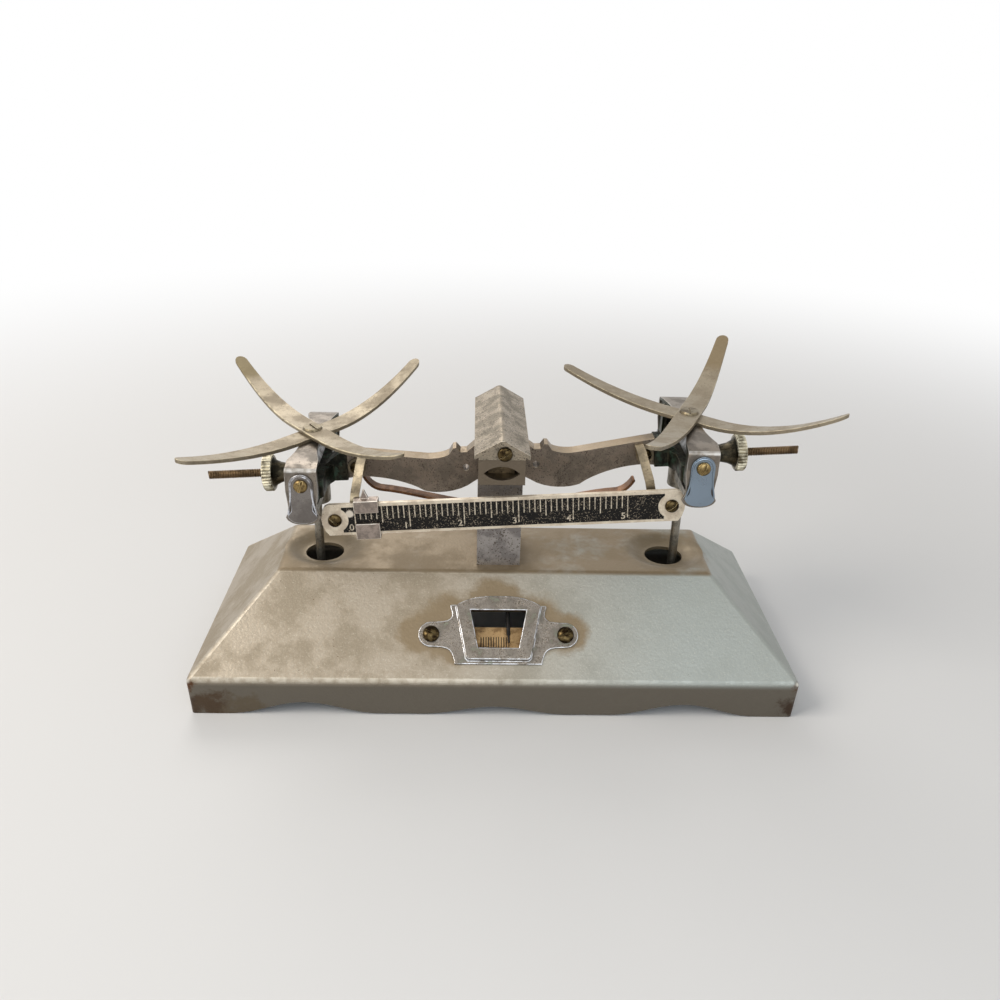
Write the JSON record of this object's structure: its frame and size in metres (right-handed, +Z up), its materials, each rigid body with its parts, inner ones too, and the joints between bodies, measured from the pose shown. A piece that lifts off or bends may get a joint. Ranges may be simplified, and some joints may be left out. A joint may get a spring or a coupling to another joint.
{
  "type": "prescription balance",
  "caption": "Table balance with equal arms on knife edges, a rider scale and balance nuts on its beam, a pan cross at each end and a pointer window in its pressed base.",
  "frame": {"origin": "on the table under the middle of the base", "axes": "+X to the right along the beam as the scale's reader sees it, +Y away from the reader, +Z up"},
  "size_m": [0.2135, 0.1008, 0.1107],
  "materials": {
    "base_paint": "worn hammered paint",
    "frame_chrome": "pitted",
    "dial_brass": "tarnished",
    "post_metal": "worn satin",
    "champagne_sheet": "pitted satin",
    "bearing_steel": "satin",
    "stop_bronze": "oxidised",
    "plain_steel": "satin",
    "beam_metal": "pitted satin",
    "block_brass": "verdigris",
    "wire_steel": "dull",
    "rod_brass": "dull brown",
    "bar_black": "worn black, pale lines",
    "carrier_steel": "satin",
    "cover_chrome": "satin",
    "rider_chrome": "satin",
    "nut_brass": "worn plating",
    "screw_brass": "dull",
    "screw_steel": "dull"
  },
  "bodies": {
    "base": {"base_shell": "base_paint", "window_frame": "frame_chrome", "window_screw_left": "screw_steel", "window_screw_right": "screw_steel", "dial_plate": "dial_brass", "post": "post_metal", "roof_cap": "champagne_sheet", "cap_screw_front": "screw_brass", "cap_screw_rear": "screw_brass", "centre_bearing_front": "bearing_steel", "centre_bearing_rear": "bearing_steel", "stop_strip": "stop_bronze", "link_bracket": "plain_steel", "post_screw_left": "screw_steel", "post_screw_right": "screw_steel", "pivot_pin": "plain_steel"},
    "beam": {"beam_casting": "beam_metal", "centre_knife": "bearing_steel", "end_block_left": "block_brass", "end_block_right": "block_brass", "end_knife_left": "bearing_steel", "end_knife_right": "bearing_steel", "pointer": "wire_steel", "threaded_rod_left": "rod_brass", "threaded_rod_right": "rod_brass", "bar_hanger_left": "champagne_sheet", "bar_hanger_right": "champagne_sheet", "hanger_screw_left": "screw_brass", "hanger_screw_right": "screw_brass", "scale_bar": "bar_black", "bar_screw_left": "screw_brass", "bar_screw_right": "screw_brass"},
    "lower_link": {"lower_link": "plain_steel"},
    "rider": {"rider": "rider_chrome"},
    "left_nut": {"nut_left": "nut_brass"},
    "right_nut": {"nut_right": "nut_brass"},
    "left_carrier": {"carrier_left": "carrier_steel", "pan_rod_left": "plain_steel", "end_bearing_left_front": "bearing_steel", "end_bearing_left_rear": "bearing_steel", "cover_left_front": "cover_chrome", "cover_left_rear": "cover_chrome", "cover_screw_left_front": "screw_brass", "cover_screw_left_rear": "screw_brass", "lower_strip_left": "champagne_sheet", "upper_strip_left": "champagne_sheet", "cross_screw_left": "screw_steel"},
    "right_carrier": {"carrier_right": "carrier_steel", "pan_rod_right": "plain_steel", "end_bearing_right_front": "bearing_steel", "end_bearing_right_rear": "bearing_steel", "cover_right_front": "cover_chrome", "cover_right_rear": "cover_chrome", "cover_screw_right_front": "screw_brass", "cover_screw_right_rear": "screw_brass", "lower_strip_right": "champagne_sheet", "upper_strip_right": "champagne_sheet", "cross_screw_right": "screw_steel"}
  },
  "joints": [
    {"name": "beam_tilt", "type": "hinge", "parent": "base", "child": "beam", "pos_m": [0.0009, 0, 0.083], "axis": [0, 1, 0], "range_deg": [0, 7.2]},
    {"name": "left_carrier_hinge", "type": "hinge", "parent": "beam", "child": "left_carrier", "pos_m": [-0.06517, 0, 0.07884], "axis": [0, 1, 0], "range_deg": [-7.2, 0]},
    {"name": "right_carrier_hinge", "type": "hinge", "parent": "beam", "child": "right_carrier", "pos_m": [0.06697, 0, 0.08716], "axis": [0, 1, 0], "range_deg": [-7.2, 0]},
    {"name": "link_tilt", "type": "hinge", "parent": "base", "child": "lower_link", "pos_m": [0.0009, 0, 0.022], "axis": [0, 1, 0], "range_deg": [0, 7.2]},
    {"name": "rider_slide", "type": "slide", "parent": "beam", "child": "rider", "axis": [0.998, 0, 0.0628], "range_m": [0, 0.0925]},
    {"name": "left_nut_travel", "type": "slide", "parent": "beam", "child": "left_nut", "axis": [-0.998, 0, -0.0628], "range_m": [-0.0029, 0.018]},
    {"name": "right_nut_travel", "type": "slide", "parent": "beam", "child": "right_nut", "axis": [0.998, 0, 0.0628], "range_m": [-0.0053, 0.016]}
  ],
  "couplings": [
    {"joint": "left_carrier_hinge", "follows": "beam_tilt", "ratio": -1},
    {"joint": "right_carrier_hinge", "follows": "beam_tilt", "ratio": -1},
    {"joint": "link_tilt", "follows": "beam_tilt", "ratio": 1}
  ]
}
